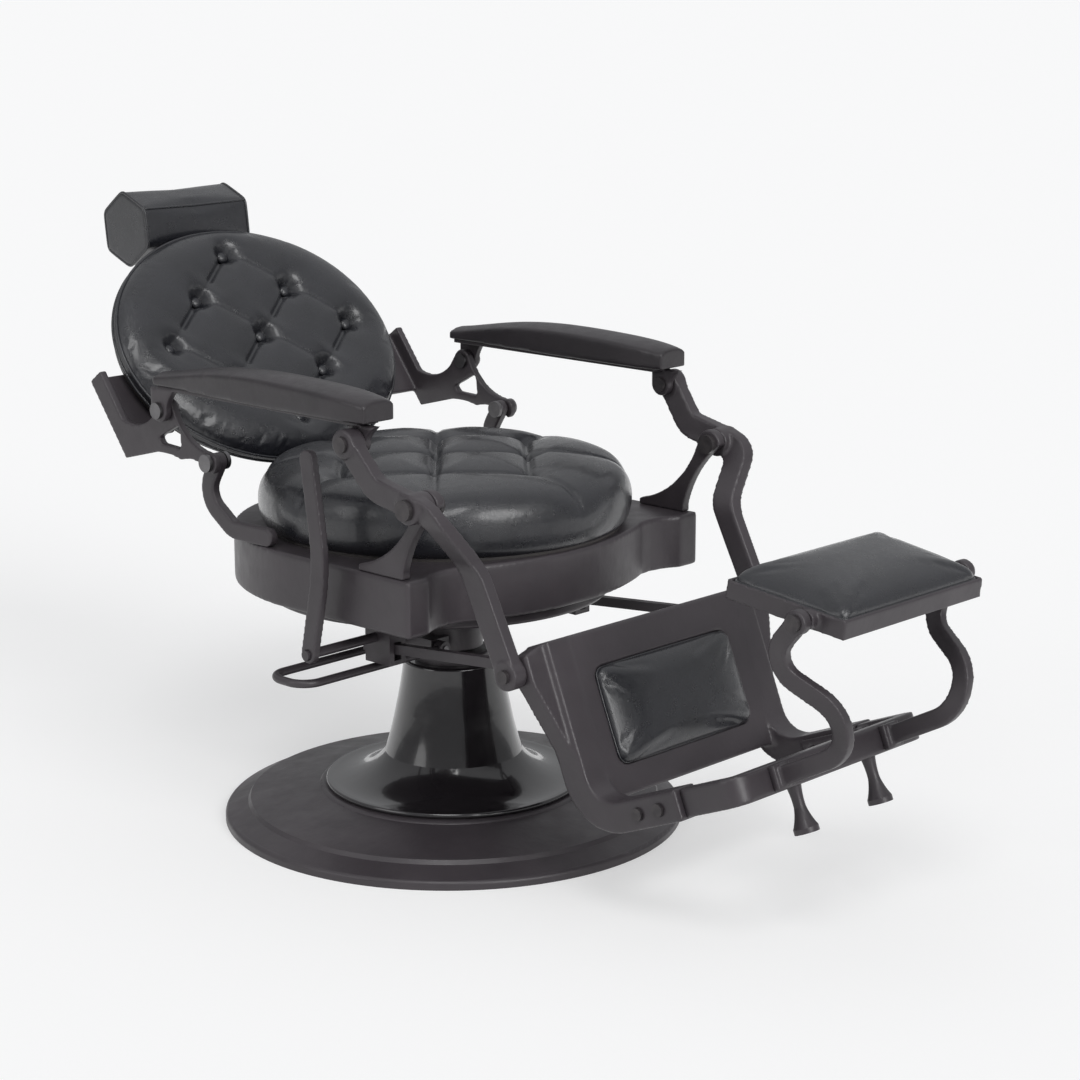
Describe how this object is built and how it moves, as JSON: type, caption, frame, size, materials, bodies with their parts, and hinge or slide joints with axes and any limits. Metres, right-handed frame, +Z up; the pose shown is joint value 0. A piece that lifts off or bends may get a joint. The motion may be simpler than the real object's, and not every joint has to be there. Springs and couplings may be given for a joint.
{
  "type": "barber chair",
  "caption": "Reclining barber chair: round floor base, hydraulic column, tufted seat and oval back, linked armrests and legrest, flip-up foot pad and headrest roll.",
  "frame": {"origin": "on the floor under the middle of the column", "axes": "+X to the sitter's left, -Y forward towards the foot pad, +Z up"},
  "size_m": [0.693, 1.5031, 0.895],
  "materials": {
    "leather": "semi-gloss black leather",
    "arm_skin": "satin moulded pad",
    "satin_paint": "satin black",
    "gloss_paint": "gloss black",
    "plywood": "black-stained plywood",
    "steel": "ground steel",
    "fastener": "black oxide",
    "rubber": "moulded rubber"
  },
  "bodies": {
    "base": {"base_dish": "satin_paint", "floor_plate": "satin_paint", "column_cover": "gloss_paint", "pump_cylinder": "satin_paint", "flange_bolts": "fastener", "gland_collar": "satin_paint"},
    "ram": {"lift_ram": "steel", "piston_seal": "rubber"},
    "seat": {"swivel_head": "satin_paint", "carrier_pan": "satin_paint", "seat_ring": "satin_paint", "seat_board": "plywood", "seat_cushion": "leather", "lever_bracket_left": "satin_paint", "lever_bracket_right": "satin_paint", "lever_pivot_bolts": "fastener", "back_strap_left": "satin_paint", "back_strap_right": "satin_paint", "back_pivot_pins": "steel", "lock_guides": "satin_paint", "pump_lever_pin": "steel"},
    "back": {"back_cushion": "leather", "back_board": "plywood", "back_shell": "satin_paint", "back_bracket_left": "satin_paint", "back_bracket_right": "satin_paint", "bracket_bolts": "fastener", "arm_pivot_pins": "steel", "headrest_socket": "satin_paint"},
    "legrest": {"side_lever_left": "satin_paint", "side_lever_right": "satin_paint", "lever_top_pins": "fastener", "lever_foot_bolts": "fastener", "legrest_frame": "satin_paint", "calf_pad": "leather", "foot_frame": "satin_paint", "foot_frame_bolts": "fastener", "floor_pegs": "satin_paint", "pad_bracket_left": "satin_paint", "pad_bracket_right": "satin_paint", "lock_pins": "steel"},
    "arm_left": {"armrest_left": "arm_skin", "arm_rail_left": "satin_paint"},
    "arm_right": {"armrest_right": "arm_skin", "arm_rail_right": "satin_paint"},
    "headrest_stem": {"headrest_post": "steel"},
    "headrest": {"headrest_pin": "steel", "headrest_yoke": "satin_paint", "headrest_cushion": "leather"},
    "foot_pad": {"foot_tray": "satin_paint", "foot_cushion": "leather", "pad_pivot_bolts": "fastener"},
    "lock_left": {"lock_bar_left": "satin_paint"},
    "lock_right": {"lock_bar_right": "satin_paint"},
    "recline_handle": {"hand_lever": "satin_paint", "hand_lever_shaft": "satin_paint"},
    "pump_handle": {"pump_lever": "satin_paint"}
  },
  "joints": [
    {"name": "lift", "type": "slide", "parent": "base", "child": "ram", "axis": [0, 0, 1], "range_m": [0, 0.15]},
    {"name": "swivel", "type": "hinge", "parent": "ram", "child": "seat", "pos_m": [0, 0, 0.3], "axis": [0, 0, 1], "continuous": true},
    {"name": "recline", "type": "hinge", "parent": "seat", "child": "back", "pos_m": [0, 0.182, 0.553], "axis": [1, 0, 0], "range_deg": [0, 24]},
    {"name": "legrest_swing", "type": "hinge", "parent": "seat", "child": "legrest", "pos_m": [0, -0.253, 0.555], "axis": [1, 0, 0], "range_deg": [0, 21.8]},
    {"name": "arm_swing_left", "type": "hinge", "parent": "back", "child": "arm_left", "pos_m": [0.3, 0.275, 0.619], "axis": [1, 0, 0], "range_deg": [-24.79, 0]},
    {"name": "arm_swing_right", "type": "hinge", "parent": "back", "child": "arm_right", "pos_m": [-0.3, 0.275, 0.619], "axis": [1, 0, 0], "range_deg": [-24.79, 0]},
    {"name": "headrest_height", "type": "slide", "parent": "back", "child": "headrest_stem", "axis": [0, 0.6018, 0.7986], "range_m": [0, 0.08]},
    {"name": "headrest_tilt", "type": "hinge", "parent": "headrest_stem", "child": "headrest", "pos_m": [0, 0.63521, 0.82395], "axis": [1, 0, 0], "range_deg": [-25, 20]},
    {"name": "foot_pad_flip", "type": "hinge", "parent": "legrest", "child": "foot_pad", "pos_m": [0, -0.77647, 0.47057], "axis": [1, 0, 0], "range_deg": [0, 90]},
    {"name": "lock_swing_left", "type": "hinge", "parent": "legrest", "child": "lock_left", "pos_m": [0.193, -0.34037, 0.32955], "axis": [1, 0, 0], "range_deg": [-19.04, 0]},
    {"name": "lock_swing_right", "type": "hinge", "parent": "legrest", "child": "lock_right", "pos_m": [-0.193, -0.34037, 0.32955], "axis": [1, 0, 0], "range_deg": [-19.04, 0]},
    {"name": "recline_release", "type": "hinge", "parent": "seat", "child": "recline_handle", "pos_m": [-0.33, -0.055, 0.321], "axis": [1, 0, 0], "range_deg": [0, 15], "stiffness_Nm_per_rad": 12, "springref_deg": -8.59},
    {"name": "pump_stroke", "type": "hinge", "parent": "seat", "child": "pump_handle", "pos_m": [-0.06, 0, 0.271], "axis": [0, -1, 0], "range_deg": [0, 20], "stiffness_Nm_per_rad": 12, "springref_deg": -17.19}
  ],
  "couplings": [
    {"joint": "legrest_swing", "follows": "recline", "ratio": 0.9},
    {"joint": "arm_swing_left", "follows": "recline", "ratio": -1.0244},
    {"joint": "arm_swing_right", "follows": "recline", "ratio": -1.0244},
    {"joint": "lock_swing_left", "follows": "recline", "ratio": -0.785},
    {"joint": "lock_swing_right", "follows": "recline", "ratio": -0.785}
  ]
}
